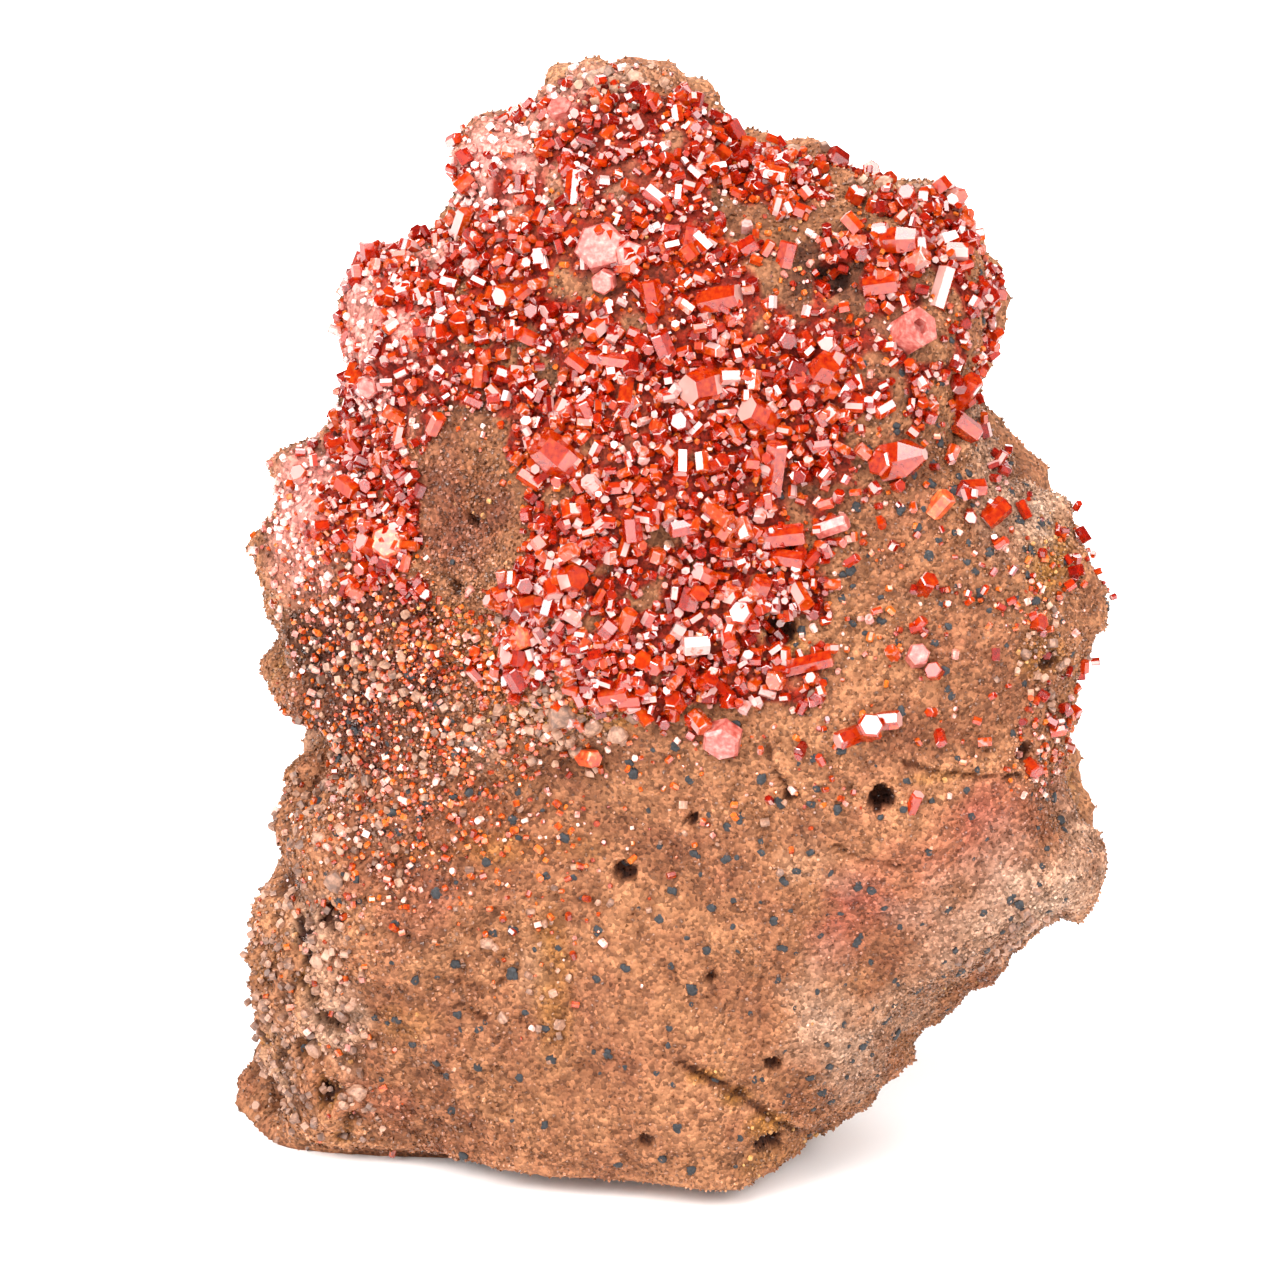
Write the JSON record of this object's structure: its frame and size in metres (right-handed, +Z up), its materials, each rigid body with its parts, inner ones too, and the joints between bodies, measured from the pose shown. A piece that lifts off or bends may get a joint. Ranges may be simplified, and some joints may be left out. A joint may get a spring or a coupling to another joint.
{
  "type": "vanadinite on matrix",
  "caption": "Upright broken piece of brown, sandy vein rock whose front face is crusted with red hexagonal vanadinite crystals; a mineral specimen for display.",
  "frame": {"origin": "on the floor, under the middle of the specimen's bounding box", "axes": "+Z up as the specimen stands, the crystal face looks towards -Y, +X to the right of someone looking at that face"},
  "size_m": [0.068, 0.0378, 0.0855],
  "materials": {
    "matrix": "brown, sandy micro-crystalline vein rock with rosy, ochre and pale stains",
    "vanadinite": "red to orange-red translucent crystal with a bright resinous to adamantine lustre",
    "frosted_druse": "pink, frosted crust of very small vanadinite crystals",
    "manganese_oxide": "blue-black, dull to submetallic dots",
    "iron_ochre": "orange to yellow-tan earthy iron oxide grains and crusts",
    "pale_crust": "cream crust of gangue grains"
  },
  "bodies": {
    "root": {"matrix": "matrix", "crown_plate": "vanadinite", "upper_blade": "vanadinite", "rose_plates": "vanadinite", "crossed_blades": "vanadinite", "great_barrel": "vanadinite", "right_barrel": "vanadinite", "hopper": "vanadinite", "hopper_side": "vanadinite", "rose_spire": "vanadinite", "low_triplet_left": "vanadinite", "low_triplet_middle": "vanadinite", "low_triplet_right": "vanadinite", "column_upper": "vanadinite", "column_lower": "vanadinite", "rosy_lath": "vanadinite", "bright_prism": "vanadinite", "pale_stub": "vanadinite", "orange_plate": "vanadinite", "tongue_plate": "vanadinite", "foot_plate": "vanadinite", "chunk_prism": "vanadinite", "long_lath": "vanadinite", "rosette": "vanadinite", "pit_lath": "vanadinite", "east_plates": "vanadinite", "south_east_stub": "vanadinite", "orange_column": "vanadinite", "deep_barrel": "vanadinite", "mirror_prism": "vanadinite", "east_barrel": "vanadinite", "ridge_barrel": "vanadinite", "hollow_prism": "vanadinite", "lying_barrel": "vanadinite", "tongue_cluster": "vanadinite", "orange_stack": "vanadinite", "tongue_barrel": "vanadinite", "west_plate": "vanadinite", "west_rose": "vanadinite", "notch_plate": "vanadinite", "window_prism": "vanadinite", "shoulder_barrel": "vanadinite", "white_plate": "vanadinite", "tall_mirror": "vanadinite", "sloping_lath": "vanadinite"}
  },
  "joints": []
}
